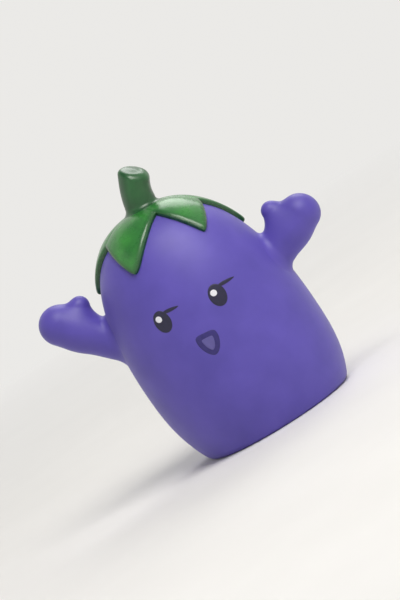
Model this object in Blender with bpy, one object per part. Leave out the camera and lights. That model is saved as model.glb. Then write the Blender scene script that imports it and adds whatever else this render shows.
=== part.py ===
"""Finger puppet in the shape of a smiling aubergine.

One hollow moulding of soft vinyl, open at its base for the finger, with a painted leaf cap and stem and
a printed face. Metres, +Z up. The rim of the opening stands on z = 0, and the face looks along -Y. The
skin's outer form is one function of height and turn round the axis x = y = 0, and everything that lies on
it, such as the leaf cap and the face, takes its place from that function. The finished forms then lean a
little towards -X, as the real casting does.
"""

import math

import bmesh
import bpy
from mathutils import Vector

# Body, outside. It leans by so many degrees towards -X, and one height stays where it is
BODY_WIDTH = 0.0332
BODY_DEPTH = 0.0290
CROWN_HEIGHT = 0.0424
BELLY_HEIGHT = 0.0140
RIM_WIDTH = 0.0272
RIM_ROUND = 0.0009
RIM_TUCK = 2.6
SHOULDER_FULLNESS = 2.42
BODY_LEAN = 2.8
LEAN_HEIGHT = 0.0180
OVAL = BODY_WIDTH / BODY_DEPTH
BODY_TURNS = 60
BODY_STEPS = 8
BODY_ANGLES = (0, 8, 16, 24, 32, 40, 47, 54, 61, 68, 75, 82)

# Finger hollow
WALL = 0.0022
OPENING_WIDTH = 0.0206
OPENING_ROUND = 0.0004
ROUND_STEPS = 3
HOLLOW_TURNS = 40
HOLLOW_SHARES = (0.16, 0.3, 0.5, 0.75)
HOLLOW_ANGLES = (0, 12, 24, 36, 47, 58, 69, 80)

# Arms: the height where each leaves the body, its rise in degrees, and its length to the palm's middle
ARM_RADIUS = 0.0034
ARM_FILLET = 0.0013
LEFT_ARM = {"side": -1, "height": 0.0261, "rise": 48, "length": 0.0096, "palm_radius": 0.0037}
RIGHT_ARM = {"side": 1, "height": 0.0250, "rise": 25, "length": 0.0079, "palm_radius": 0.0034}
THUMB_RADIUS = 0.0017
THUMB_ROOT_RADIUS = 0.0031
THUMB_ROOT_BACK = 0.0034
THUMB_BACK = 0.0023
THUMB_OUT = 0.0043
ARM_TURNS = 20
THUMB_TURNS = 14
FLARE_SHARES = (0.08, 0.3, 0.6, 1)
ROUND_END_ANGLES = (0, 24, 48, 70)

# Leaf cap: each leaf's turn in degrees from the face towards +X, the heights of its tip and of the notch
# after it, that notch's share of the way to the next tip, and how straight the leaf's sides are, 0 to 1.
# Each row of the cap lies at a share of the way from the crown to the edge and is raised by a share of the
# thickness
LEAVES = (
    (-92, 0.0340, 0.0401, 0.47, 0.5),
    (-20, 0.0346, 0.0410, 0.78, 0.3),
    (43, 0.0346, 0.0387, 0.67, 0.65),
    (104, 0.0318, 0.0396, 0.5, 0.5),
    (182, 0.0337, 0.0396, 0.5, 0.5),
)
LEAF_THICKNESS = 0.00085
LEAF_ROWS = ((0.3, 1), (0.55, 1), (0.75, 1), (0.88, 0.92), (0.96, 0.68), (1.0, 0.25))
LEAF_UNDER_ROWS = (0.97, 0.5)
LEAF_TURNS = 90
LEAF_HOLLOWNESS = 2.6
LEAF_TIP_ROUND = 0.09
ANCHOR = 0.0008

# Stem
STEM_HEIGHT = 0.0504
STEM_LEAN = 22
STEM_ASIDE = 0.0004
STEM_FOOT_RADIUS = 0.0027
STEM_TOP_RADIUS = 0.0026
STEM_FILLET = 0.0008
STEM_CUT = 15
STEM_CUT_FORWARD = 16
STEM_EDGE = 0.0011
STEM_EDGE_ANGLES = (0, 30, 60, 90)

# Printed face, in thin relief
FACE_TILT = 4.6
FACE_ASIDE = 0.0002
EYE_HEIGHT_ON_BODY = 0.0253
EYE_SPACING = 0.0102
EYE_WIDTH = 0.0029
EYE_TALL = 0.0039
GLINT_WIDTH = 0.0011
GLINT_ASIDE = 0.0004
GLINT_UP = 0.0006
LASH_START = 0.0007
LASH_LENGTH = 0.0030
LASH_UP = 0.0013
LASH_WIDTH = 0.0007
LASH_TAPER = 0.3
MOUTH_DROP = 0.0058
MOUTH_ASIDE = 0.0001
MOUTH_WIDTH = 0.0038
MOUTH_LIP = 0.0012
MOUTH_DEPTH = 0.0029
MOUTH_LINE = 0.0009
MOUTH_CORNERS = 0.5
MOUTH_TAPER = 1.2
INK_RELIEF = 0.0002
LASH_RELIEF = 0.00015
INK_ANCHOR = 0.0005
EYE_TURNS = 18
GLINT_TURNS = 10
LASH_TURNS = 14
MOUTH_TURNS = 24

PURPLE = (0.122, 0.094, 0.515, 1.0)
LEAF_GREEN = (0.032, 0.235, 0.044, 1.0)
INK_BLACK = (0.010, 0.008, 0.036, 1.0)
INK_WHITE = (0.80, 0.80, 0.84, 1.0)
MOUTH_LINE_PURPLE = (0.045, 0.027, 0.21, 1.0)
MOUTH_PURPLE = (0.16, 0.13, 0.42, 1.0)

CREASE = 35


def material(name, colour, roughness):
    """A plain Principled material of one colour."""
    made = bpy.data.materials.new(name)
    made.use_nodes = True
    shader = made.node_tree.nodes["Principled BSDF"]
    shader.inputs["Base Color"].default_value = colour
    shader.inputs["Roughness"].default_value = roughness
    shader.inputs["Metallic"].default_value = 0.0
    made.diffuse_color = colour
    return made


def crown_height_at(angle):
    """The height of the skin's profile at this angle, 0 at the belly and 90 at the crown."""
    rise = math.sin(math.radians(angle)) ** (2 / SHOULDER_FULLNESS)
    return BELLY_HEIGHT + (CROWN_HEIGHT - BELLY_HEIGHT) * rise


def crown_angle_at(height):
    """The profile angle of a height above the belly."""
    share = (height - BELLY_HEIGHT) / (CROWN_HEIGHT - BELLY_HEIGHT)
    return math.degrees(math.asin(min(1, max(0, share)) ** (SHOULDER_FULLNESS / 2)))


def skin_profile(height):
    """The skin's half width at a height, and its outward slope there as (sideways, upwards).

    Above the belly the profile is a quarter of a superellipse, and below it a power curve tucks in to
    the rim.
    """
    half = BODY_WIDTH / 2
    if height >= BELLY_HEIGHT:
        tall = CROWN_HEIGHT - BELLY_HEIGHT
        share = min(1, (height - BELLY_HEIGHT) / tall)
        radius = half * (1 - share**SHOULDER_FULLNESS) ** (1 / SHOULDER_FULLNESS)
        power = SHOULDER_FULLNESS - 1
        return radius, (radius / half) ** power / half, share**power / tall
    tuck = half - RIM_WIDTH / 2
    share = (BELLY_HEIGHT - height) / BELLY_HEIGHT
    radius = half - tuck * share**RIM_TUCK
    return radius, 1, -tuck * RIM_TUCK / BELLY_HEIGHT * share ** (RIM_TUCK - 1)


def ring_point(radius, turn, height):
    """A point of the body's oval section: turn is in degrees from the face towards +X."""
    angle = math.radians(turn)
    across = radius * math.sin(angle)
    return Vector((across, -radius * math.cos(angle) / OVAL, height))


def on_skin(height, turn, lift=0):
    """The skin's point at a height and turn, moved out from the skin by lift."""
    radius, sideways, upwards = skin_profile(height)
    angle = math.radians(turn)
    out = Vector((sideways * math.sin(angle), -sideways * math.cos(angle) * OVAL, upwards))
    return ring_point(radius, turn, height) + lift * out.normalized()


def leaned(point):
    """A point moved sideways as far as the body leans at its height, so that the rim stays flat."""
    return point + Vector((math.tan(math.radians(BODY_LEAN)) * (LEAN_HEIGHT - point.z), 0, 0))


def curve_point(start, corner, end, share):
    """A point of the rounded corner that leaves start and reaches end."""
    return start * (1 - share) ** 2 + corner * 2 * share * (1 - share) + end * share**2


def solid(name, rings, surface):
    """A closed solid through rings of points, the first and last single points, leaned as the body is."""
    mesh = bpy.data.meshes.new(name)
    shape = bmesh.new()
    rows = [[shape.verts.new(leaned(point)) for point in ring] for ring in rings]
    for lower, upper in zip(rows, rows[1:]):
        count = max(len(lower), len(upper))
        for here in range(count):
            after = (here + 1) % count
            corners = [lower[here % len(lower)], lower[after % len(lower)]]
            corners += [upper[after % len(upper)], upper[here % len(upper)]]
            shape.faces.new(list(dict.fromkeys(corners)))
    bmesh.ops.triangulate(shape, faces=shape.faces, quad_method="SHORT_EDGE")
    bmesh.ops.recalc_face_normals(shape, faces=shape.faces)
    shape.to_mesh(mesh)
    shape.free()
    mesh.shade_smooth()
    mesh.materials.append(surface)
    made = bpy.data.objects.new(name, mesh)
    bpy.context.scene.collection.objects.link(made)
    return made


def turns_of(count):
    """Equal turns of one circle, in degrees."""
    return [360 * step / count for step in range(count)]


def body_form():
    """The outside of the body from the middle of its base to its crown, solid until it is hollowed."""
    rim = RIM_WIDTH / 2
    wall_end = Vector((skin_profile(RIM_ROUND)[0], RIM_ROUND))
    corner = Vector((rim, 0))
    flat_end = Vector((rim - RIM_ROUND, 0))
    profile = [curve_point(flat_end, corner, wall_end, step / ROUND_STEPS) for step in range(ROUND_STEPS)]
    heights = [RIM_ROUND + (BELLY_HEIGHT - RIM_ROUND) * step / BODY_STEPS for step in range(BODY_STEPS)]
    heights += [crown_height_at(angle) for angle in BODY_ANGLES]
    profile += [Vector((skin_profile(height)[0], height)) for height in heights]
    rings = [[Vector((0, 0, 0))]]
    rings += [[ring_point(point.x, turn, point.y) for turn in turns_of(BODY_TURNS)] for point in profile]
    rings.append([Vector((0, 0, CROWN_HEIGHT))])
    return rings


def hollow_form():
    """The finger hollow: the skin moved in by the wall, with a rounded mouth that opens below the rim."""
    below = -2 * OPENING_ROUND
    mouth = OPENING_WIDTH / 2
    edge = Vector((mouth + OPENING_ROUND, 0))
    neck = Vector((mouth, 2 * OPENING_ROUND))
    lip = [Vector((edge.x, below))]
    corner = Vector((mouth, 0))
    lip += [curve_point(edge, corner, neck, step / ROUND_STEPS) for step in range(ROUND_STEPS + 1)]
    heights = [BELLY_HEIGHT * share for share in HOLLOW_SHARES]
    heights += [crown_height_at(angle) for angle in HOLLOW_ANGLES]
    rings = [[Vector((0, 0, below))]]
    rings += [[ring_point(point.x, turn, point.y) for turn in turns_of(HOLLOW_TURNS)] for point in lip]
    rings += [[on_skin(height, turn, -WALL) for turn in turns_of(HOLLOW_TURNS)] for height in heights]
    rings.append([on_skin(CROWN_HEIGHT, 0, -WALL)])
    return rings


def leaf_shape(share, straightness):
    """How far down a leaf reaches at this share of the way from its middle line to its notch, 1 to 0."""
    share = math.hypot(share, LEAF_TIP_ROUND) - LEAF_TIP_ROUND
    rest = max(0, 1 - share / (math.hypot(1, LEAF_TIP_ROUND) - LEAF_TIP_ROUND))
    return straightness * rest + (1 - straightness) * rest**LEAF_HOLLOWNESS


def leaf_edge_height(turn):
    """The height of the leaf cap's edge at a turn: it drops to each leaf's tip and rises to each notch."""
    first = LEAVES[0][0]
    turn = (turn - first) % 360 + first
    following = LEAVES[1:] + ((first + 360, *LEAVES[0][1:]),)
    for (before, tip, notch, split, straight), (after, next_tip, _, _, next_straight) in zip(LEAVES, following):
        if turn <= after:
            share = (turn - before) / (after - before)
            if share < split:
                return notch - (notch - tip) * leaf_shape(share / split, straight)
            return notch - (notch - next_tip) * leaf_shape((1 - share) / (1 - split), next_straight)
    return notch


def leaf_cap_form():
    """Five thick leaves in one star that lies on the crown, anchored in the wall below it."""
    edge_angles = [crown_angle_at(leaf_edge_height(turn)) for turn in turns_of(LEAF_TURNS)]

    def row(reach, lift):
        heights = [crown_height_at(90 - (90 - edge) * reach) for edge in edge_angles]
        return [on_skin(height, turn, lift) for height, turn in zip(heights, turns_of(LEAF_TURNS))]

    rings = [[on_skin(CROWN_HEIGHT, 0, LEAF_THICKNESS)]]
    rings += [row(reach, lift * LEAF_THICKNESS) for reach, lift in LEAF_ROWS]
    rings += [row(reach, -ANCHOR) for reach in LEAF_UNDER_ROWS]
    rings.append([on_skin(CROWN_HEIGHT, 0, -ANCHOR)])
    return rings


def skin_gap(point):
    """About how far a point lies outside the skin, and the way out from the skin there."""
    radius = math.hypot(point.x, point.y * OVAL)
    if point.z > BELLY_HEIGHT:
        half, tall = BODY_WIDTH / 2, CROWN_HEIGHT - BELLY_HEIGHT
        wide, high = radius / half, (point.z - BELLY_HEIGHT) / tall
        size = (wide**SHOULDER_FULLNESS + high**SHOULDER_FULLNESS) ** (1 / SHOULDER_FULLNESS)
        power = SHOULDER_FULLNESS - 1
        excess, sideways, upwards = size - 1, (wide / size) ** power / half, (high / size) ** power / tall
    else:
        skin_radius, sideways, upwards = skin_profile(point.z)
        excess = radius - skin_radius
    across = sideways / max(radius, RIM_ROUND)
    slope = Vector((across * point.x, across * point.y * OVAL**2, upwards))
    return excess / slope.length, slope.normalized()


def settle(point, gap):
    """Moves a point straight out of or into the skin until it lies this far outside it."""
    for _ in range(4):
        distance, out = skin_gap(point)
        point = point + out * (gap - distance)
    return point


def flared_rows(start, along, outs, radius, reach, fillet, base):
    """The rows of points at a limb's foot, and how far along the limb the last of them lies.

    Each row lies at one distance from the surface that the limb stands on, which is base above the skin.
    The nearer it is, the wider the limb stands out, by a quarter circle of the fillet's radius. The first
    row is anchored below that surface.
    """
    rows = []
    for share in FLARE_SHARES:
        gap = base + share * fillet
        places = []
        for out in outs:
            low, high = 0, reach
            for _ in range(24):
                middle = (low + high) / 2
                inside = skin_gap(start + along * middle + out * radius)[0] < gap
                low, high = (middle, high) if inside else (low, middle)
            places.append(low)
        flare = fillet * (1 - math.sqrt(1 - (1 - share) ** 2))
        points = [start + along * place + out * (radius + flare) for place, out in zip(places, outs)]
        rows.append([settle(point, gap) for point in points])
    anchored = [settle(point, base - ANCHOR) for point in rows[0]]
    return [anchored, *rows], places


def around(along, count):
    """Directions square to a limb, one for each turn round it."""
    depth = Vector((0, 1, 0))
    aside = along.cross(depth)
    turns = [math.radians(turn) for turn in turns_of(count)]
    return [aside * math.cos(turn) + depth * math.sin(turn) for turn in turns]


def stem_form():
    """A leaning, tapering stalk that flares into the leaf cap and is cut off at a slant."""
    lean = math.radians(STEM_LEAN)
    along = Vector((math.sin(lean), 0, math.cos(lean)))
    outs = around(along, ARM_TURNS)
    start = settle(Vector((STEM_ASIDE, 0, CROWN_HEIGHT)), -ANCHOR)
    length = (STEM_HEIGHT - start.z - STEM_TOP_RADIUS * math.sin(lean)) / math.cos(lean)
    rows, places = flared_rows(start, along, outs, STEM_FOOT_RADIUS, length, STEM_FILLET, LEAF_THICKNESS)
    slant, forward = math.tan(math.radians(STEM_CUT)), math.tan(math.radians(STEM_CUT_FORWARD))
    halfway = (STEM_FOOT_RADIUS + STEM_TOP_RADIUS) / 2
    steps = [(0.5, halfway, STEM_EDGE)]
    for bend in (math.radians(angle) for angle in STEM_EDGE_ANGLES):
        inset, sink = STEM_EDGE * (1 - math.cos(bend)), STEM_EDGE * (1 - math.sin(bend))
        steps.append((1, STEM_TOP_RADIUS - inset, sink))
    for share, radius, sink in steps:
        row = []
        for out, place in zip(outs, places):
            top = length - sink + radius * (forward * out.y - slant * out.x)
            row.append(start + along * (place + (top - place) * share) + out * radius)
        rows.append(row)
    return [[settle(start, -2 * ANCHOR)], *rows, [start + along * length]]


def round_end(end, along, outs, radius):
    """The rows of a limb's round end, and its last point."""
    rows = []
    for angle in ROUND_END_ANGLES:
        bend = math.radians(angle)
        middle = end + along * radius * math.sin(bend)
        rows.append([middle + out * radius * math.cos(bend) for out in outs])
    return [*rows, [end + along * radius]]


def arm_forms(side, height, rise, length, palm_radius):
    """The rings of one raised arm, which flares into the skin, and of its thumb."""
    angle = math.radians(rise)
    along = Vector((side * math.cos(angle), 0, math.sin(angle)))
    upper = Vector((-side * math.sin(angle), 0, math.cos(angle)))
    shoulder = Vector((side * skin_profile(height)[0], 0, height))
    palm = shoulder + along * length
    start = shoulder - along * 2 * ARM_RADIUS
    outs = around(along, ARM_TURNS)
    reach = length + 2 * ARM_RADIUS
    rows, places = flared_rows(start, along, outs, ARM_RADIUS, reach, ARM_FILLET, 0)
    for share in (0.35, 0.7):
        radius = ARM_RADIUS + (palm_radius - ARM_RADIUS) * share
        row = [start + along * (place + (reach - place) * share) for place in places]
        rows.append([point + out * radius for point, out in zip(row, outs)])
    arm = [[shoulder - along * ARM_RADIUS], *rows, *round_end(palm, along, outs, palm_radius)]

    thumb_root = palm - along * THUMB_ROOT_BACK
    thumb_end = palm - along * THUMB_BACK + upper * THUMB_OUT
    thumb_along = (thumb_end - thumb_root).normalized()
    outs = around(thumb_along, THUMB_TURNS)
    root_row = [thumb_root + out * THUMB_ROOT_RADIUS for out in outs]
    return arm, [[thumb_root], root_row, *round_end(thumb_end, thumb_along, outs, THUMB_RADIUS)]


def on_face(across, up, lift):
    """A point of the printed face: across and up from the point between the eyes, on the tilted face."""
    tilt = math.radians(FACE_TILT)
    x = FACE_ASIDE + across * math.cos(tilt) + up * math.sin(tilt)
    height = EYE_HEIGHT_ON_BODY - across * math.sin(tilt) + up * math.cos(tilt)
    return on_skin(height, math.degrees(math.asin(x / skin_profile(height)[0])), lift)


def patch_form(middle, outline, lift):
    """A patch of ink that follows the skin: outline gives its edge as offsets from its middle."""

    def row(share, height):
        return [on_face(middle[0] + share * p, middle[1] + share * q, height) for p, q in outline]

    rings = [[on_face(*middle, lift)], row(0.6, lift), row(1, lift), row(1, -INK_ANCHOR)]
    rings.append([on_face(*middle, -INK_ANCHOR)])
    return rings


def oval_outline(width, tall, count):
    """The edge of an oval, as offsets from its middle."""
    angles = [math.radians(turn) for turn in turns_of(count)]
    return [(width / 2 * math.cos(angle), tall / 2 * math.sin(angle)) for angle in angles]


def lash_outline():
    """A short stroke beside the eye, rounded at both ends and narrower at its far end."""
    outline = []
    for turn in turns_of(LASH_TURNS):
        angle = math.radians(turn)
        wide = LASH_WIDTH / 2 * (1 - LASH_TAPER * math.cos(angle))
        outline.append((LASH_LENGTH / 2 * math.cos(angle), wide * math.sin(angle)))
    return outline


def mouth_outline(inset):
    """An open mouth made smaller all round by inset: a nearly straight top, and below it a tapering bowl."""
    outline = []
    for turn in turns_of(MOUTH_TURNS):
        across, up = math.cos(math.radians(turn)), math.sin(math.radians(turn))
        power = MOUTH_CORNERS if up > 0 else MOUTH_TAPER
        reach = MOUTH_LIP if up > 0 else MOUTH_DEPTH
        x = math.copysign(abs(across) ** power, across) * (MOUTH_WIDTH / 2 - inset)
        outline.append((x, math.copysign(abs(up) ** power, up) * (reach - inset)))
    return outline


def join(target, tool, operation):
    """Joins a helper solid to the target, or cuts it from the target, and leaves the helper as a guide."""
    tool.hide_render = True
    tool.display_type = "WIRE"
    modifier = target.modifiers.new(tool.name, "BOOLEAN")
    modifier.operation = operation
    modifier.solver = "EXACT"
    modifier.object = tool
    modifier.material_mode = "TRANSFER"


def bake(target):
    """Applies the unions and the cut, so that the creases between the pieces can be marked sharp."""
    graph = bpy.context.evaluated_depsgraph_get()
    mesh = bpy.data.meshes.new_from_object(target.evaluated_get(graph))
    target.modifiers.clear()
    target.data = mesh
    mesh.set_sharp_from_angle(angle=math.radians(CREASE))


def build():
    for old in list(bpy.data.objects):
        bpy.data.objects.remove(old, do_unlink=True)

    vinyl = material("purple_vinyl", PURPLE, 0.45)
    paint = material("green_gloss_paint", LEAF_GREEN, 0.22)
    black = material("black_ink", INK_BLACK, 0.35)
    white = material("white_ink", INK_WHITE, 0.35)
    dark = material("mouth_line_ink", MOUTH_LINE_PURPLE, 0.35)
    pale = material("mouth_inside_ink", MOUTH_PURPLE, 0.4)

    puppet = solid("puppet", body_form(), vinyl)
    join(puppet, solid("leaf_cap", leaf_cap_form(), paint), "UNION")
    join(puppet, solid("stem", stem_form(), paint), "UNION")
    for name, sizes in (("left", LEFT_ARM), ("right", RIGHT_ARM)):
        arm, thumb = arm_forms(**sizes)
        join(puppet, solid(f"{name}_arm", arm, vinyl), "UNION")
        join(puppet, solid(f"{name}_thumb", thumb, vinyl), "UNION")

    for name, side in (("left", -1), ("right", 1)):
        eye = side * EYE_SPACING / 2
        eye_form = patch_form((eye, 0), oval_outline(EYE_WIDTH, EYE_TALL, EYE_TURNS), INK_RELIEF)
        join(puppet, solid(f"{name}_eye", eye_form, black), "UNION")
        lash = (eye + LASH_START + LASH_LENGTH / 2, LASH_UP)
        join(puppet, solid(f"{name}_lash", patch_form(lash, lash_outline(), LASH_RELIEF), black), "UNION")
        glint = (eye - GLINT_ASIDE, GLINT_UP)
        round_glint = oval_outline(GLINT_WIDTH, GLINT_WIDTH, GLINT_TURNS)
        glint_form = patch_form(glint, round_glint, 2 * INK_RELIEF)
        join(puppet, solid(f"{name}_glint", glint_form, white), "UNION")
    mouth = (MOUTH_ASIDE, -MOUTH_DROP)
    join(puppet, solid("mouth_line", patch_form(mouth, mouth_outline(0), INK_RELIEF), dark), "UNION")
    inside = patch_form(mouth, mouth_outline(MOUTH_LINE), 2 * INK_RELIEF)
    join(puppet, solid("mouth_inside", inside, pale), "UNION")

    join(puppet, solid("finger_hollow", hollow_form(), vinyl), "DIFFERENCE")
    bake(puppet)


build()
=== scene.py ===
import bpy
import numpy as np
from mathutils import Matrix, Vector


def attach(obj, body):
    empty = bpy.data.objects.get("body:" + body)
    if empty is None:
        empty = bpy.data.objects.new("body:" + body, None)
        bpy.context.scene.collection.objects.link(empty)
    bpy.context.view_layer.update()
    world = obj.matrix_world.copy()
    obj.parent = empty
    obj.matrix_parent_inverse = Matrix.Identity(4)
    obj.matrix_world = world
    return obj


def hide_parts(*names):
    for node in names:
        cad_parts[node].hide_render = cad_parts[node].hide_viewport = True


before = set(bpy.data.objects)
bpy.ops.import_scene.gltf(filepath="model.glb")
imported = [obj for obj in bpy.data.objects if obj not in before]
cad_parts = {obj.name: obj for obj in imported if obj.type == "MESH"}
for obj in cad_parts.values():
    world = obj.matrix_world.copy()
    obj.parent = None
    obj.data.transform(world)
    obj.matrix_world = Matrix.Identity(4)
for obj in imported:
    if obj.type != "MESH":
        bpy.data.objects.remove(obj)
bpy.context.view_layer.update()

# Moulded skin
# The body, arms and thumbs are one hollow casting of soft PVC, turned in a heated mould, so the wall is even
# and the outside is smooth and satin. The finger goes in at the base, where the casting is trimmed flat.
BODY_WIDTH = 0.0332
BODY_DEPTH = 0.0290
CROWN_HEIGHT = 0.0424
BELLY_HEIGHT = 0.0140
RIM_WIDTH = 0.0272
RIM_ROUND = 0.0009
RIM_TUCK = 2.6
SHOULDER_FULLNESS = 2.42
BODY_LEAN = 2.8
LEAN_HEIGHT = 0.0180
OVAL = BODY_WIDTH / BODY_DEPTH
WALL = 0.0022
OPENING_WIDTH = 0.0206
OPENING_ROUND = 0.0004
SKIN_TURNS = 320
SHOULDER_ROWS = 130
BELLY_ROWS = 70
RIM_ROWS = 12
LIP_ROWS = 8
HOLLOW_FOOT = 0.16
HOLLOW_LOW_ROWS = 20
HOLLOW_HIGH_ROWS = 40
SLACK = 0.00004
SLACK_START = 0.004
SLACK_WAVES = np.array([(0, 430, 310), (-290, 0, 380), (350, 260, 0)])
SLACK_SHIFTS = (1, 2, 0)


def skin_profile(height):
    """The skin's half width at each height, and its outward slope there as (sideways, upwards).

    Above the belly it is a quarter of a superellipse, half * (1 - h^n)^(1/n) with h the share of the way
    to the crown. Below, it is half less a power of the share of the way down, which tucks in to the rim.
    """
    half, tall, tuck = BODY_WIDTH / 2, CROWN_HEIGHT - BELLY_HEIGHT, (BODY_WIDTH - RIM_WIDTH) / 2
    high = np.clip((height - BELLY_HEIGHT) / tall, 0, 1)
    low = np.clip((BELLY_HEIGHT - height) / BELLY_HEIGHT, 0, None)
    upper = half * (1 - high**SHOULDER_FULLNESS) ** (1 / SHOULDER_FULLNESS)
    power = SHOULDER_FULLNESS - 1
    above = height > BELLY_HEIGHT
    radius = np.where(above, upper, half - tuck * low**RIM_TUCK)
    sideways = np.where(above, (upper / half) ** power / half, 1)
    lean_in = tuck * RIM_TUCK / BELLY_HEIGHT * low ** (RIM_TUCK - 1)
    return radius, sideways, np.where(above, high**power / tall, -lean_in)


def slackened(points):
    """Points with the slow unevenness of a soft casting: each axis is moved by a sine wave through space.

    The waves start from nothing at the rim, so that the puppet still stands flat.
    """
    growth = np.clip(points[..., 2:] / SLACK_START, 0, 1)
    return points + SLACK * growth * np.sin(points @ SLACK_WAVES.T + SLACK_SHIFTS)


def leaned(points):
    """Points moved sideways as the body leans: the lean's slope times how far they lie below its middle."""
    aside = np.tan(np.radians(BODY_LEAN)) * (LEAN_HEIGHT - points[..., 2:])
    return points + aside * np.array([1.0, 0.0, 0.0])


def on_skin(height, turn, lift=0.0):
    """The skin at a height and a turn in radians from the face towards +X, moved out by lift.

    The section is an ellipse: (r sin t, -r cos t / oval, h), and the way out is that ellipse's slope.
    """
    height, turn, lift = np.broadcast_arrays(height, turn, lift)
    radius, sideways, upwards = skin_profile(height)
    point = np.stack([radius * np.sin(turn), -radius * np.cos(turn) / OVAL, height], axis=-1)
    out = np.stack([sideways * np.sin(turn), -sideways * np.cos(turn) * OVAL, upwards], axis=-1)
    out /= np.linalg.norm(out, axis=-1, keepdims=True)
    return point + lift[..., None] * out


def shoulder_height(angle):
    """The height on the superellipse at an angle, 0 at the belly and a right angle at the crown."""
    return BELLY_HEIGHT + (CROWN_HEIGHT - BELLY_HEIGHT) * np.sin(angle) ** (2 / SHOULDER_FULLNESS)


def turns_of(count):
    """Equal turns of one circle, in radians."""
    return np.arange(count) * 2 * np.pi / count


def rounded(start, corner, end, count):
    """A rounded corner from start to end, as a quadratic curve with its control point at the corner."""
    share = np.linspace(0, 1, count)[:, None]
    return start * (1 - share) ** 2 + corner * 2 * share * (1 - share) + end * share**2


def closed_surface(name, rings, start, end):
    """A closed mesh through a grid of points whose rows are rings, with a fan of triangles at each end."""
    count, around = rings.shape[:2]
    points = slackened(leaned(np.concatenate([rings.reshape(-1, 3), [start, end]])))
    here = np.arange((count - 1) * around).reshape(-1, around)
    after = np.roll(here, -1, axis=1)
    quads = np.stack([here, after, after + around, here + around], axis=-1).reshape(-1, 4)
    first, last = np.arange(around), np.arange(around) + (count - 1) * around
    start_fan = np.stack([np.roll(first, -1), first, np.full(around, count * around)], axis=-1)
    end_fan = np.stack([last, np.roll(last, -1), np.full(around, count * around + 1)], axis=-1)
    corners = points[quads]
    across, down = corners[:, 2] - corners[:, 0], corners[:, 3] - corners[:, 1]
    outward = np.einsum("ij,ij->", corners[:, 0], np.cross(across, down)) > 0
    faces = [*quads.tolist(), *start_fan.tolist(), *end_fan.tolist()]
    mesh = bpy.data.meshes.new(name)
    mesh.from_pydata(points.tolist(), [], faces if outward else [face[::-1] for face in faces])
    mesh.shade_smooth()
    piece = bpy.data.objects.new(name, mesh)
    bpy.context.scene.collection.objects.link(piece)
    return piece


def shell_rings():
    """The body's section carried round it: down the outside, round the rim, and up the inside of the wall."""
    turn = turns_of(SKIN_TURNS)[None, :]
    upper = shoulder_height(np.linspace(np.pi / 2, 0, SHOULDER_ROWS)[1:, None])
    lower = np.linspace(BELLY_HEIGHT, RIM_ROUND, BELLY_ROWS)[1:, None]
    outside = on_skin(np.concatenate([upper, lower]), turn)
    rim, mouth, neck = RIM_WIDTH / 2, OPENING_WIDTH / 2, 2 * OPENING_ROUND
    wall_end = np.array([skin_profile(np.array(RIM_ROUND))[0], RIM_ROUND])
    outer = rounded(wall_end, np.array([rim, 0]), np.array([rim - RIM_ROUND, 0]), RIM_ROWS)[1:]
    lip_start, lip_end = np.array([mouth + OPENING_ROUND, 0]), np.array([mouth, neck])
    inner = rounded(lip_start, np.array([mouth, 0]), lip_end, LIP_ROWS)
    lip = np.concatenate([outer, inner])[:, None, :]
    across, depth, height = lip[..., 0] * np.sin(turn), -lip[..., 0] * np.cos(turn) / OVAL, lip[..., 1]
    rim_rings = np.stack(np.broadcast_arrays(across, depth, height), axis=-1)
    low = np.linspace(HOLLOW_FOOT * BELLY_HEIGHT, BELLY_HEIGHT, HOLLOW_LOW_ROWS)[:, None]
    high = shoulder_height(np.linspace(0, np.pi / 2, HOLLOW_HIGH_ROWS)[1:-1, None])
    inside = on_skin(np.concatenate([low, high]), turn, -WALL)
    return np.concatenate([outside, rim_rings, inside])


def material(name, roughness):
    """A Principled material, its node tree, its shader and its object coordinates."""
    made = bpy.data.materials.new(name)
    made.use_nodes = True
    nodes = made.node_tree.nodes
    shader = nodes["Principled BSDF"]
    shader.inputs["Roughness"].default_value = roughness
    return made, made.node_tree, shader, nodes.new("ShaderNodeTexCoord").outputs["Object"]


def noise(tree, place, scale, detail=3.0):
    """A grain of this many waves to the metre, from 0 to 1."""
    grain = tree.nodes.new("ShaderNodeTexNoise")
    grain.inputs["Scale"].default_value = scale
    grain.inputs["Detail"].default_value = detail
    tree.links.new(place, grain.inputs["Vector"])
    return grain.outputs["Fac"]


def between(tree, share, low, high):
    """Two colours mixed by a grain, whose middle part is spread over their whole range."""
    ramp = tree.nodes.new("ShaderNodeValToRGB")
    ramp.color_ramp.elements[0].position = 0.3
    ramp.color_ramp.elements[1].position = 0.7
    ramp.color_ramp.elements[0].color = (*low, 1)
    ramp.color_ramp.elements[1].color = (*high, 1)
    tree.links.new(share, ramp.inputs["Fac"])
    return ramp.outputs["Color"]


def scaled(tree, share, low, high, start=0.0, end=1.0):
    """A value that runs from start to end, spread from low to high."""
    spread = tree.nodes.new("ShaderNodeMapRange")
    spread.inputs["From Min"].default_value = start
    spread.inputs["From Max"].default_value = end
    spread.inputs["To Min"].default_value = low
    spread.inputs["To Max"].default_value = high
    tree.links.new(share, spread.inputs["Value"])
    return spread.outputs["Result"]


def bump(tree, height, depth, strength, under=None):
    """A bump of this depth in metres, over another bump if one is given."""
    made = tree.nodes.new("ShaderNodeBump")
    made.inputs["Strength"].default_value = strength
    made.inputs["Distance"].default_value = depth
    tree.links.new(height, made.inputs["Height"])
    if under:
        tree.links.new(under, made.inputs["Normal"])
    return made.outputs["Normal"]


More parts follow.
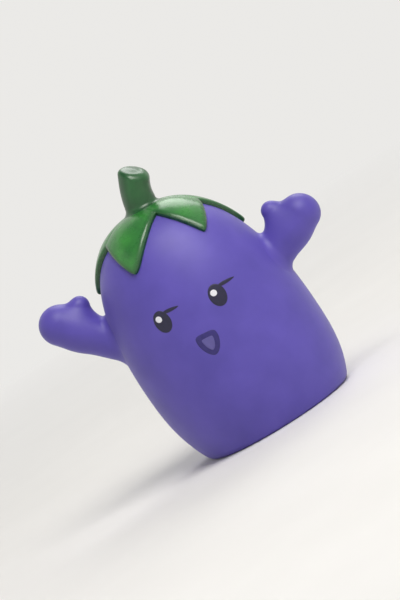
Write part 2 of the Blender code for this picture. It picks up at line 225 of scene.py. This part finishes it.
def vinyl_material():
    """Purple vinyl: a slow mottle in the colour, a satin skin, and a grain as fine as the mould's own."""
    made, tree, shader, place = material("purple_vinyl", 0.45)
    colour = between(tree, noise(tree, place, 150), (0.084, 0.060, 0.372), (0.106, 0.076, 0.436))
    tree.links.new(colour, shader.inputs["Base Color"])
    tree.links.new(scaled(tree, noise(tree, place, 700), 0.43, 0.53), shader.inputs["Roughness"])
    peel = bump(tree, noise(tree, place, 900, 2), 0.00004, 0.25)
    grain = bump(tree, noise(tree, place, 5200, 4), 0.00002, 0.35, peel)
    tree.links.new(grain, shader.inputs["Normal"])
    shader.inputs["Subsurface Weight"].default_value = 0.12
    shader.inputs["Subsurface Radius"].default_value = (1.0, 0.7, 1.4)
    shader.inputs["Subsurface Scale"].default_value = 0.0008
    shader.inputs["Sheen Weight"].default_value = 0.08
    return made


crown = on_skin(np.array(CROWN_HEIGHT), np.array(0.0))
inner_crown = on_skin(np.array(CROWN_HEIGHT), np.array(0.0), -WALL)
skin = closed_surface("moulded_skin", shell_rings(), crown, inner_crown)
vinyl = vinyl_material()
skin.data.materials.append(vinyl)
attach(skin, "root")
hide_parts("puppet")


# Arms and thumbs
# Each arm is a round lobe of the same casting, raised to wave, and flares where it leaves the body. The
# thumb is a short cone on the arm's upper side, and both melt into each other as soft castings do.
ARM_RADIUS = 0.0034
ARM_FILLET = 0.0013
LEFT_ARM = {"side": -1, "height": 0.0261, "rise": 48, "length": 0.0096, "palm_radius": 0.0037}
RIGHT_ARM = {"side": 1, "height": 0.0250, "rise": 25, "length": 0.0079, "palm_radius": 0.0034}
THUMB_RADIUS = 0.0017
THUMB_ROOT_RADIUS = 0.0031
THUMB_ROOT_BACK = 0.0034
THUMB_BACK = 0.0023
THUMB_OUT = 0.0043
THUMB_BLEND = 0.0020
LIMB_TURNS = 220
TUBE_STEP = 0.00006
PALM_ROWS = 50
FLARE_ROWS = 14
FLARE_START = 0.12
SUNK = 0.0003
SUNK_FLARE = 1.15
SEAM_GAP = 0.004
SEAM_FLARE = 1.06
SETTLE_ROUNDS = 5
HALVINGS = 26
MELT_ROUNDS = 70


def skin_gap(points):
    """How far points lie outside the skin, and the way out there: the superellipse's level over its slope."""
    x, y, z = (points[..., axis] for axis in range(3))
    radius = np.hypot(x, y * OVAL)
    half, tall, power = BODY_WIDTH / 2, CROWN_HEIGHT - BELLY_HEIGHT, SHOULDER_FULLNESS - 1
    wide, high = radius / half, np.clip((z - BELLY_HEIGHT) / tall, 0, None)
    size = (wide**SHOULDER_FULLNESS + high**SHOULDER_FULLNESS) ** (1 / SHOULDER_FULLNESS)
    low_radius, _, low_up = skin_profile(np.minimum(z, BELLY_HEIGHT))
    above = z > BELLY_HEIGHT
    excess = np.where(above, size - 1, radius - low_radius)
    sideways = np.where(above, (wide / size) ** power / half, 1) / np.maximum(radius, RIM_ROUND)
    upwards = np.where(above, (high / size) ** power / tall, low_up)
    slope = np.stack([sideways * x, sideways * y * OVAL**2, upwards], axis=-1)
    steep = np.linalg.norm(slope, axis=-1)
    return excess / steep, slope / steep[..., None]


def settle(points, gap):
    """Points moved straight out of or into the skin until they lie this far outside it."""
    for _ in range(SETTLE_ROUNDS):
        distance, out = skin_gap(points)
        points = points + out * (gap - distance)[..., None]
    return points


def around(along):
    """Directions square to a limb, one for each turn round it."""
    depth = np.array([0.0, 1.0, 0.0])
    aside = np.cross(along, depth)
    turn = turns_of(LIMB_TURNS)[:, None]
    return aside * np.cos(turn) + depth * np.sin(turn)


def foot_rows(start, along, radius, reach, fillet, base=0.0):
    """The rows at a limb's foot, from the one sunk in what it stands on, and where the last row lies.

    Each row keeps one gap from that surface, and stands out by a quarter circle: f (1 - sqrt(1 - (1 - s)^2))
    with s the gap as a share of the fillet f. The first two rows carry the flare on below the surface.
    """
    outs = around(along)

    def row(gap, flare):
        low, high = np.zeros(LIMB_TURNS), np.full(LIMB_TURNS, reach)
        for _ in range(HALVINGS):
            middle = (low + high) / 2
            inside = skin_gap(start + along * middle[:, None] + outs * radius)[0] < base + gap
            low, high = np.where(inside, middle, low), np.where(inside, high, middle)
        return settle(start + along * low[:, None] + outs * (radius + flare), base + gap), low

    rows = [row(-SUNK, fillet * SUNK_FLARE)[0], row(-fillet * SEAM_GAP, fillet * SEAM_FLARE)[0]]
    for share in 1 - np.cos(np.linspace(FLARE_START, np.pi / 2, FLARE_ROWS)):
        points, places = row(share * fillet, fillet * (1 - np.sqrt(1 - (1 - share) ** 2)))
        rows.append(points)
    return rows, places


def cone_gap(points, start, end, start_radius, end_radius):
    """How far points lie outside a cone with round ends: the distance to its axis, less the radius there."""
    run = end - start
    share = np.clip((points - start) @ run / (run @ run), 0, 1)
    away = np.linalg.norm(points - start - share[..., None] * run, axis=-1)
    return away - start_radius - (end_radius - start_radius) * share


def arm(name, side, height, rise, length, palm_radius):
    """An arm as rows from its flared foot along a tube to its round palm, with the thumb raised from them.

    A point is moved out until the smooth minimum of its own lift and its gap to the thumb is nothing. The
    smooth minimum of a and b is min(a, b) - k/4 max(1 - |a - b| / k, 0)^2, with k how far they melt together.
    """
    angle = np.radians(rise)
    along = np.array([side * np.cos(angle), 0, np.sin(angle)])
    upper = np.array([-side * np.sin(angle), 0, np.cos(angle)])
    shoulder = np.array([side * float(skin_profile(np.array(height))[0]), 0, height])
    palm = shoulder + along * length
    start = shoulder - along * 2 * ARM_RADIUS
    reach = length + 2 * ARM_RADIUS
    outs = around(along)
    rows, places = foot_rows(start, along, ARM_RADIUS, reach, ARM_FILLET)
    rays = [outs] * len(rows)
    for share in np.linspace(0, 1, int(length / TUBE_STEP))[1:, None]:
        middle = start + along * (places[:, None] + (reach - places[:, None]) * share)
        rows.append(middle + outs * (ARM_RADIUS + (palm_radius - ARM_RADIUS) * share))
        rays.append(outs)
    for bend in np.linspace(0, np.pi / 2, PALM_ROWS)[1:-1]:
        rays.append(along * np.sin(bend) + outs * np.cos(bend))
        rows.append(palm + rays[-1] * palm_radius)
    base, ray = np.stack(rows), np.stack(rays)

    thumb = palm - along * THUMB_ROOT_BACK, palm - along * THUMB_BACK + upper * THUMB_OUT
    lift = np.full(base.shape[:2], THUMB_OUT + 2 * THUMB_RADIUS)
    for _ in range(MELT_ROUNDS):
        gap = cone_gap(base + ray * lift[..., None], *thumb, THUMB_ROOT_RADIUS, THUMB_RADIUS)
        melt = np.clip(1 - np.abs(gap - lift) / THUMB_BLEND, 0, None) ** 2 * THUMB_BLEND / 4
        lift = lift - np.minimum(gap, lift) + melt
    rings = base + ray * lift[..., None]
    return closed_surface(name, rings, rings[0].mean(axis=0), palm + along * palm_radius)


for name, sizes in (("left_arm", LEFT_ARM), ("right_arm", RIGHT_ARM)):
    limb = arm(name, **sizes)
    limb.data.materials.append(vinyl)
    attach(limb, "root")


# Leaf cap
# Five thick leaves in one star, raised on the crown in the mould and sprayed in gloss green through a mask.
# Their edges are rounded and steep, and a shallow valley runs from each notch up to the stem.
LEAVES = (
    (-92, 0.0340, 0.0401, 0.47, 0.5),
    (-20, 0.0346, 0.0410, 0.78, 0.3),
    (43, 0.0346, 0.0387, 0.67, 0.65),
    (104, 0.0318, 0.0396, 0.5, 0.5),
    (182, 0.0337, 0.0396, 0.5, 0.5),
)
LEAF_THICKNESS = 0.00085
LEAF_HOLLOWNESS = 2.6
LEAF_TIP_ROUND = 0.09
LEAF_ROUND = 0.0008
LEAF_CORNER = 2.5
LEAF_LIP = 0.12
LEAF_SWELL = 0.00010
LEAF_SWELL_REACH = 0.003
VALLEY_DEPTH = 0.00012
VALLEY_NARROWNESS = 6
VALLEY_FROM = 0.15
VALLEY_REACH = 0.5
# How far in from the leaves' edge the painted shade reaches.
LEAF_EDGE_SHADE_WIDTH = 0.0011
LEAF_FOOT_SUNK = 0.0002
LEAF_UNDER_SUNK = 0.0006
LEAF_UNDER_ROW = 12
LEAF_TURNS = 640
LEAF_ROWS = 60
LEAF_FIRST_ROW = 0.02
LEAF_CROWDING = 1.7


def leaf_edge(turn):
    """The height of the star's edge at each turn, and how near the turn is to a notch, from 0 to 1.

    From a tip to a notch it rises by s times a straight line plus 1 - s times that line to a power, which
    hollows the leaf's sides. The tip is rounded by a hyperbola in place of the sharp corner.
    """
    rows = np.array([*LEAVES, (LEAVES[0][0] + 360, *LEAVES[0][1:])])
    tips, tip_heights, notch_heights, notch_shares, straightness = rows.T
    degrees = (np.degrees(turn) - tips[0]) % 360 + tips[0]
    before = np.clip(np.searchsorted(tips, degrees, side="right") - 1, 0, len(LEAVES) - 1)
    share = (degrees - tips[before]) / (tips[before + 1] - tips[before])
    notch, split = notch_heights[before], notch_shares[before]
    own = np.where(share < split, before, before + 1)
    share = np.where(share < split, share / split, (1 - share) / (1 - split))
    full = np.hypot(1, LEAF_TIP_ROUND) - LEAF_TIP_ROUND
    rest = np.clip(1 - (np.hypot(share, LEAF_TIP_ROUND) - LEAF_TIP_ROUND) / full, 0, 1)
    reach = straightness[own] * rest + (1 - straightness[own]) * rest**LEAF_HOLLOWNESS
    return notch - (notch - tip_heights[own]) * reach, share


def leaf_rings():
    """The star as rows from the crown to its edge, and back under it inside the wall.

    A point's lift rises from the edge as a rounded corner, by its real distance from the edge line.
    """
    turn = turns_of(LEAF_TURNS)
    edge_height, notch_share = leaf_edge(turn)
    share = np.clip((edge_height - BELLY_HEIGHT) / (CROWN_HEIGHT - BELLY_HEIGHT), 0, 1)
    edge_angle = np.arcsin(share ** (SHOULDER_FULLNESS / 2))
    reach = 1 - (1 - np.linspace(LEAF_FIRST_ROW, 1, LEAF_ROWS)[:, None]) ** LEAF_CROWDING
    heights = shoulder_height(np.pi / 2 - (np.pi / 2 - edge_angle) * reach)
    flat = on_skin(heights, turn)
    from_edge = np.stack([np.linalg.norm(row[:, None] - flat[-1][None], axis=-1).min(axis=1) for row in flat])
    near = 1 - np.clip(from_edge / LEAF_ROUND, 0, 1)
    corner = (1 - near**LEAF_CORNER) ** (1 / LEAF_CORNER)
    lift = LEAF_THICKNESS * (LEAF_LIP + (1 - LEAF_LIP) * corner)
    lift = lift + LEAF_SWELL * np.clip(from_edge / LEAF_SWELL_REACH, 0, 1)
    valley = notch_share**VALLEY_NARROWNESS * np.clip(from_edge / LEAF_THICKNESS, 0, 1)
    lift = lift - VALLEY_DEPTH * valley * np.clip((reach - VALLEY_FROM) / VALLEY_REACH, 0, 1)
    top = on_skin(heights, turn, lift)
    foot = on_skin(heights[-1], turn, -LEAF_FOOT_SUNK)
    under = on_skin(heights[-LEAF_UNDER_ROW], turn, -LEAF_UNDER_SUNK)
    # From 0 at the star's edge to 1 a little way in: how far the painted shade along the leaf edges has faded
    # out.
    edge_shade_fade = np.clip(from_edge / LEAF_EDGE_SHADE_WIDTH, 0, 1)
    return np.concatenate([top, foot[None], under[None]]), np.concatenate([edge_shade_fade, 0 * edge_shade_fade[:2]])


cap_rings, cap_edge_shade_fade = leaf_rings()
cap_top = on_skin(np.array(CROWN_HEIGHT), np.array(0.0), LEAF_THICKNESS + LEAF_SWELL)
cap_under = on_skin(np.array(CROWN_HEIGHT), np.array(0.0), -LEAF_UNDER_SUNK)
leaf_cap = closed_surface("leaf_cap", cap_rings, cap_top, cap_under)
edge_shade_fade = leaf_cap.data.attributes.new("edge_shade_fade", "FLOAT", "POINT")
edge_shade_fade.data.foreach_set("value", np.append(cap_edge_shade_fade.ravel(), [1, 0]).astype(np.float32))


def paint_material(name, low, high, roughness, edge=None):
    """Gloss paint sprayed on vinyl: two greens that mottle slowly, and a faint orange peel.

    Where the piece says how near its edge each point is, the paint is darkened there towards the edge colour:
    a painted shade along the edge.
    """
    made, tree, shader, place = material(name, roughness)
    colour = between(tree, noise(tree, place, 260, 4), low, high)
    # The edge colour is painted shade: it darkens the paint where the piece's edge share is low.
    if edge:
        edge_shade_fade = tree.nodes.new("ShaderNodeAttribute")
        edge_shade_fade.attribute_name = "edge_shade_fade"
        mix = tree.nodes.new("ShaderNodeMix")
        mix.data_type = "RGBA"
        mix.inputs["A"].default_value = (*edge, 1)
        tree.links.new(edge_shade_fade.outputs["Fac"], mix.inputs["Factor"])
        tree.links.new(colour, mix.inputs["B"])
        colour = mix.outputs["Result"]
    tree.links.new(colour, shader.inputs["Base Color"])
    shine = scaled(tree, noise(tree, place, 600), roughness - 0.05, roughness + 0.07)
    tree.links.new(shine, shader.inputs["Roughness"])
    tree.links.new(bump(tree, noise(tree, place, 1100, 2), 0.00005, 0.28), shader.inputs["Normal"])
    shader.inputs["Coat Weight"].default_value = 0.22
    shader.inputs["Coat Roughness"].default_value = 0.14
    return made


leaf_greens = (0.015, 0.142, 0.023), (0.034, 0.236, 0.032)
# The darkest green is painted shade along the leaves' rounded edges.
leaf_cap.data.materials.append(paint_material("leaf_green", *leaf_greens, 0.27, edge=(0.009, 0.075, 0.018)))
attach(leaf_cap, "root")


# Stem
# A solid stalk of the same casting, painted a deeper green. It leans and bends a little, flares into the
# leaf cap, and is cut off at a slant with a broadly rounded edge.
STEM_HEIGHT = 0.0504
STEM_LEAN = 22
STEM_ASIDE = 0.0004
STEM_BOW = 0.0002
STEM_FOOT_RADIUS = 0.0027
STEM_TOP_RADIUS = 0.0026
STEM_FILLET = 0.0008
STEM_CUT = 15
STEM_CUT_FORWARD = 16
STEM_EDGE = 0.0011
STEM_RIBS = 5
STEM_RIB = 0.022
STEM_RIB_START = 0.25
STEM_DOME = 0.0002
STEM_SUNK = 0.0008
STEM_ROWS = 30
STEM_EDGE_ROWS = 7
STEM_END_SHARES = np.linspace(0.9, 0.1, 9)


def stem_rings():
    """The stalk from its flared foot to its slanted end: a tapering tube, a rounded edge, a low dome."""
    lean = np.radians(STEM_LEAN)
    along = np.array([np.sin(lean), 0, np.cos(lean)])
    aside = np.array([np.cos(lean), 0, -np.sin(lean)])
    start = settle(np.array([STEM_ASIDE, 0, CROWN_HEIGHT]), np.array(-STEM_SUNK))
    length = (STEM_HEIGHT - start[2] - STEM_TOP_RADIUS * np.sin(lean)) / np.cos(lean)
    on_cap = LEAF_THICKNESS + LEAF_SWELL
    rows, places = foot_rows(start, along, STEM_FOOT_RADIUS, length, STEM_FILLET, on_cap)
    outs = around(along)
    ribs = STEM_RIB * np.cos(STEM_RIBS * turns_of(LIMB_TURNS))[:, None]
    slope, slope_forward = np.tan(np.radians([STEM_CUT, STEM_CUT_FORWARD]))
    slant = slope_forward * outs[:, 1:2] - slope * outs[:, :1]

    def row(share, radius, sink):
        top = length - sink + slant * radius
        middle = start + along * (places[:, None] + (top - places[:, None]) * share)
        tube = outs * radius * (1 + ribs * min(1, share / STEM_RIB_START))
        return middle + tube - aside * STEM_BOW * np.sin(np.pi * share)

    for share in np.linspace(0, 1, STEM_ROWS)[1:]:
        rows.append(row(share, STEM_FOOT_RADIUS + (STEM_TOP_RADIUS - STEM_FOOT_RADIUS) * share, STEM_EDGE))
    for bend in np.linspace(0, np.pi / 2, STEM_EDGE_ROWS)[1:]:
        inset = STEM_EDGE * (1 - np.cos(bend))
        rows.append(row(1, STEM_TOP_RADIUS - inset, STEM_EDGE * (1 - np.sin(bend))))
    for share in STEM_END_SHARES:
        rows.append(row(1, (STEM_TOP_RADIUS - STEM_EDGE) * share, -STEM_DOME * (1 - share**2) ** 2))
    return np.stack(rows), start + along * (length + STEM_DOME)


stalk, stalk_end = stem_rings()
stem = closed_surface("stem", stalk, stalk[0].mean(axis=0), stalk_end)
stem_greens = (0.004, 0.062, 0.013), (0.012, 0.108, 0.022)
stem.data.materials.append(paint_material("stem_green", *stem_greens, 0.32))
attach(stem, "root")


# Printed face
# Eyes, lashes, glints and mouth are pad-printed on the front of the body in four inks. Each is a film
# that follows the skin, and a little thicker in its middle.
FACE_TILT = 4.6
FACE_ASIDE = 0.0002
EYE_HEIGHT_ON_BODY = 0.0253
EYE_SPACING = 0.0102
EYE_WIDTH = 0.0029
EYE_TALL = 0.0039
GLINT_WIDTH = 0.0011
GLINT_ASIDE = 0.0004
GLINT_UP = 0.0006
LASH_START = 0.0007
LASH_LENGTH = 0.0030
LASH_UP = 0.0013
LASH_WIDTH = 0.0006
LASH_TAPER = 0.3
MOUTH_DROP = 0.0058
MOUTH_ASIDE = 0.0001
MOUTH_WIDTH = 0.0038
MOUTH_LIP = 0.0012
MOUTH_DEPTH = 0.0029
MOUTH_LINE = 0.0009
MOUTH_CORNERS = 0.5
MOUTH_TAPER = 1.2
FILM = 0.00005
FILM_EDGE = 0.5
PRINT_TURNS = 96
PRINT_SHARES = np.linspace(0.08, 1, 14)[:, None]


def on_face(across, up, lift):
    """The printed face's place on the skin: the flat drawing turned by the face's tilt, then wrapped on."""
    tilt = np.radians(FACE_TILT)
    x = FACE_ASIDE + across * np.cos(tilt) + up * np.sin(tilt)
    height = EYE_HEIGHT_ON_BODY - across * np.sin(tilt) + up * np.cos(tilt)
    return on_skin(height, np.arcsin(x / skin_profile(height)[0]), lift)


def print_film(name, across, up, outline, layer, ink):
    """A film of ink inside an outline: rows from its middle to its edge, then a skirt into the skin."""
    thick = layer * FILM * (FILM_EDGE + (1 - FILM_EDGE) * np.sqrt(1 - PRINT_SHARES**4))
    film = on_face(across + PRINT_SHARES * outline[0], up + PRINT_SHARES * outline[1], thick)
    skirt = on_face(across + outline[0], up + outline[1], -FILM)
    rings = np.concatenate([film, skirt[None]])
    middle = on_face(np.array(across), np.array(up), layer * FILM)
    piece = closed_surface(name, rings, middle, on_face(np.array(across), np.array(up), -FILM))
    piece.data.materials.append(ink)
    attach(piece, "root")
    return piece


def ink_material(name, low, high, roughness):
    """Printing ink: nearly flat, with a faint unevenness in its cover and its shine."""
    made, tree, shader, place = material(name, roughness)
    tree.links.new(between(tree, noise(tree, place, 1500), low, high), shader.inputs["Base Color"])
    shine = scaled(tree, noise(tree, place, 2500), roughness - 0.06, roughness + 0.06)
    tree.links.new(shine, shader.inputs["Roughness"])
    tree.links.new(bump(tree, noise(tree, place, 4000, 2), 0.00002, 0.3), shader.inputs["Normal"])
    return made


def oval(width, tall):
    """The edge of an oval: half its width times the cosine, and half its height times the sine."""
    turn = turns_of(PRINT_TURNS)
    return width / 2 * np.cos(turn), tall / 2 * np.sin(turn)


def lash():
    """A short stroke, rounded at both ends and narrower at its far end: an oval with its width tapered."""
    turn = turns_of(PRINT_TURNS)
    wide = LASH_WIDTH / 2 * (1 - LASH_TAPER * np.cos(turn))
    return LASH_LENGTH / 2 * np.cos(turn), wide * np.sin(turn)


def mouth(inset):
    """An open mouth made smaller all round by inset: a nearly straight top, and below it a tapering bowl.

    Both are ovals whose cosine and sine are raised to a power, under 1 for the square top, over 1 below.
    """
    turn = turns_of(PRINT_TURNS)
    across, up = np.cos(turn), np.sin(turn)
    power = np.where(up > 0, MOUTH_CORNERS, MOUTH_TAPER)
    reach = np.where(up > 0, MOUTH_LIP, MOUTH_DEPTH) - inset
    x = np.sign(across) * np.abs(across) ** power * (MOUTH_WIDTH / 2 - inset)
    return x, np.sign(up) * np.abs(up) ** power * reach


black_ink = ink_material("black_ink", (0.007, 0.006, 0.030), (0.012, 0.010, 0.044), 0.36)
white_ink = ink_material("white_ink", (0.72, 0.72, 0.78), (0.84, 0.84, 0.88), 0.4)
line_ink = ink_material("mouth_line_ink", (0.022, 0.015, 0.135), (0.030, 0.020, 0.170), 0.4)
inside_ink = ink_material("mouth_inside_ink", (0.098, 0.082, 0.29), (0.112, 0.096, 0.32), 0.42)
for name, side in (("left", -1), ("right", 1)):
    eye = side * EYE_SPACING / 2
    print_film(f"{name}_eye", eye, 0.0, oval(EYE_WIDTH, EYE_TALL), 1.0, black_ink)
    print_film(f"{name}_lash", eye + LASH_START + LASH_LENGTH / 2, LASH_UP, lash(), 0.8, black_ink)
    print_film(f"{name}_glint", eye - GLINT_ASIDE, GLINT_UP, oval(GLINT_WIDTH, GLINT_WIDTH), 2.0, white_ink)
print_film("mouth_line", MOUTH_ASIDE, -MOUTH_DROP, mouth(0.0), 1.0, line_ink)
print_film("mouth_inside", MOUTH_ASIDE, -MOUTH_DROP, mouth(MOUTH_LINE), 2.0, inside_ink)


# Floor, lights and camera
# A round booth of pale paper with a flat floor, three soft lamps in it and an even pale world above it.
# The camera looks from the photograph's side, a little from above, rolled as far as the puppet lies there.
BOOTH_FLOOR = 0.45
BOOTH_BEND = 0.45
BOOTH_TOP = 1.3
BOOTH_TURNS = 180
BOOTH_MIDDLE = 0.02
BOOTH_ROWS = 40
PALE = (0.83, 0.82, 0.80, 1)
PALE_FROM = 0.10
PALE_TO = 0.40
CAMERA_SIDE = 8.7
CAMERA_RISE = 5
CAMERA_ROLL = 32
CAMERA_AWAY = 0.45
CAMERA_LENS = 158
AIM = (0.0, 0.0, 0.0245)


def calculated(tree, operation, first, second):
    """Two values put together by one operation."""
    made = tree.nodes.new("ShaderNodeMath")
    made.operation = operation
    tree.links.new(first, made.inputs[0])
    tree.links.new(second, made.inputs[1])
    return made.outputs["Value"]


def booth():
    """The paper as a profile turned round the axis: a flat floor, a quarter circle, then an upright wall.

    Near the puppet it takes light and shadow, and further off it looks one even pale tone.
    """
    bend = np.linspace(0, np.pi / 2, BOOTH_ROWS)
    wall = BOOTH_FLOOR + BOOTH_BEND
    out = np.concatenate([[BOOTH_MIDDLE], BOOTH_FLOOR + BOOTH_BEND * np.sin(bend), [wall]])
    up = np.concatenate([[0], BOOTH_BEND * (1 - np.cos(bend)), [BOOTH_TOP]])
    turn = turns_of(BOOTH_TURNS)
    across, back = out[:, None] * np.sin(turn), -out[:, None] * np.cos(turn)
    points = np.stack(np.broadcast_arrays(across, back, up[:, None]), axis=-1)
    here = np.arange((len(out) - 1) * BOOTH_TURNS).reshape(-1, BOOTH_TURNS)
    after = np.roll(here, -1, axis=1)
    quads = np.stack([here, here + BOOTH_TURNS, after + BOOTH_TURNS, after], axis=-1).reshape(-1, 4)
    faces = [*quads.tolist(), list(range(BOOTH_TURNS))]
    mesh = bpy.data.meshes.new("paper_booth")
    mesh.from_pydata(points.reshape(-1, 3).tolist(), [], faces)
    mesh.shade_smooth()
    piece = bpy.data.objects.new("paper_booth", mesh)
    bpy.context.scene.collection.objects.link(piece)
    made, tree, shader, place = material("paper", 0.8)
    colour = between(tree, noise(tree, place, 30), (0.80, 0.79, 0.77), (0.83, 0.82, 0.80))
    tree.links.new(colour, shader.inputs["Base Color"])
    tree.links.new(bump(tree, noise(tree, place, 3000), 0.00005, 0.2), shader.inputs["Normal"])
    seen = tree.nodes.new("ShaderNodeLightPath").outputs
    looks = calculated(tree, "MAXIMUM", seen["Is Camera Ray"], seen["Is Glossy Ray"])
    looks = calculated(tree, "MAXIMUM", looks, seen["Is Transmission Ray"])
    away = tree.nodes.new("ShaderNodeVectorMath")
    away.operation = "LENGTH"
    tree.links.new(place, away.inputs[0])
    far = scaled(tree, away.outputs["Value"], 0, 1, PALE_FROM, PALE_TO)
    pale = tree.nodes.new("ShaderNodeEmission")
    pale.inputs["Color"].default_value = PALE
    mix = tree.nodes.new("ShaderNodeMixShader")
    tree.links.new(calculated(tree, "MULTIPLY", looks, far), mix.inputs["Fac"])
    tree.links.new(shader.outputs["BSDF"], mix.inputs[1])
    tree.links.new(pale.outputs["Emission"], mix.inputs[2])
    tree.links.new(mix.outputs["Shader"], tree.nodes["Material Output"].inputs["Surface"])
    mesh.materials.append(made)


def looking_from(side, rise, away, roll=0.0):
    """The place and turn of something that looks at the puppet: side from the face towards +X, rise up."""
    side, rise = np.radians(side), np.radians(rise)
    back = Vector((np.sin(side) * np.cos(rise), -np.cos(side) * np.cos(rise), np.sin(rise)))
    turn = back.to_track_quat("Z", "Y").to_matrix().to_4x4()
    return Matrix.Translation(Vector(AIM) + back * away) @ turn @ Matrix.Rotation(np.radians(roll), 4, "Z")


def lamp(name, side, rise, away, size, watts, colour):
    """A square soft lamp that looks at the puppet from a side and a rise in degrees."""
    data = bpy.data.lights.new(name, "AREA")
    data.energy, data.size, data.color = watts, size, colour
    piece = bpy.data.objects.new(name, data)
    piece.matrix_world = looking_from(side, rise, away)
    bpy.context.scene.collection.objects.link(piece)


booth()
lamp("key", 38, 55, 0.6, 0.36, 2.9, (1.0, 0.98, 0.95))
lamp("fill", -45, 20, 0.7, 0.5, 0.15, (0.95, 0.97, 1.0))
lamp("back", 160, 45, 0.6, 0.3, 0.9, (1.0, 1.0, 1.0))

world = bpy.data.worlds.new("studio")
world.use_nodes = True
sky = world.node_tree.nodes["Background"]
sky.inputs["Color"].default_value = (0.94, 0.96, 1.0, 1)
sky.inputs["Strength"].default_value = 0.34
bpy.context.scene.world = world

camera = bpy.data.objects.new("camera", bpy.data.cameras.new("camera"))
camera.data.lens = CAMERA_LENS
camera.data.clip_start = 0.01
camera.matrix_world = looking_from(CAMERA_SIDE, CAMERA_RISE, CAMERA_AWAY, -CAMERA_ROLL)
bpy.context.scene.collection.objects.link(camera)
bpy.context.scene.camera = camera
bpy.context.scene.view_settings.view_transform = "Standard"
